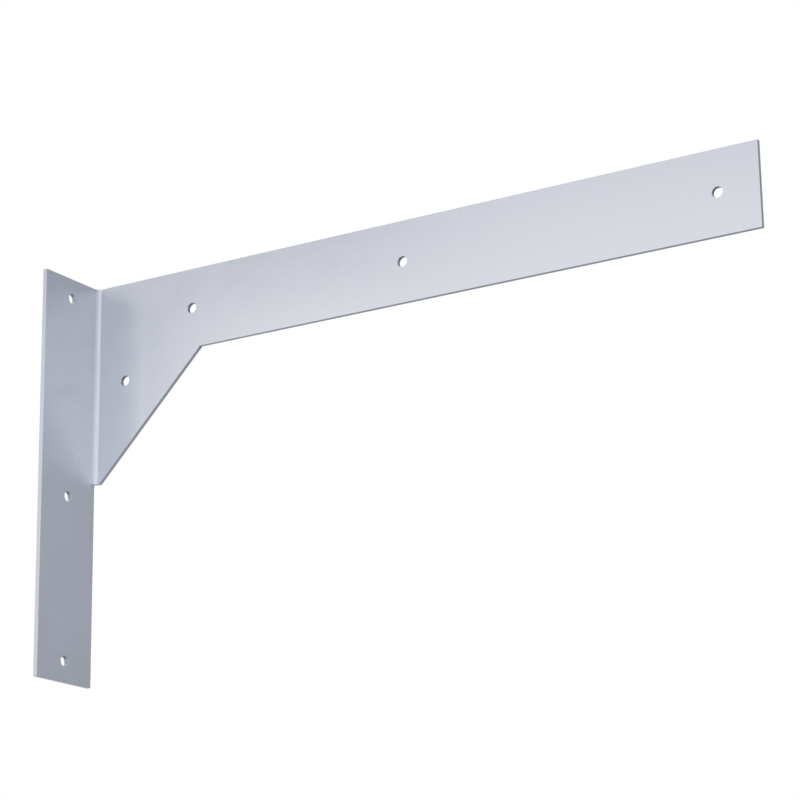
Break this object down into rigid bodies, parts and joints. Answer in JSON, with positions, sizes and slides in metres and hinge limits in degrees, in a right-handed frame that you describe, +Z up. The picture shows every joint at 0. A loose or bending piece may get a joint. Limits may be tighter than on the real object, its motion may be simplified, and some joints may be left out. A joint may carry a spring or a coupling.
{
  "type": "vanity support bracket",
  "caption": "Folded sheet-metal bracket: a tall wall plate with screw holes, and a long arm on edge, stiffened at its root by a slanted gusset.",
  "frame": {"origin": "centre of the wall plate's back face", "axes": "+X out from the wall along the arm, +Z up, +Y from the plate's free edge towards the edge that carries the arm"},
  "size_m": [0.4572, 0.0536, 0.254],
  "materials": {
    "sheet_steel": "satin"
  },
  "bodies": {
    "root": {"bracket": "sheet_steel"}
  },
  "joints": []
}
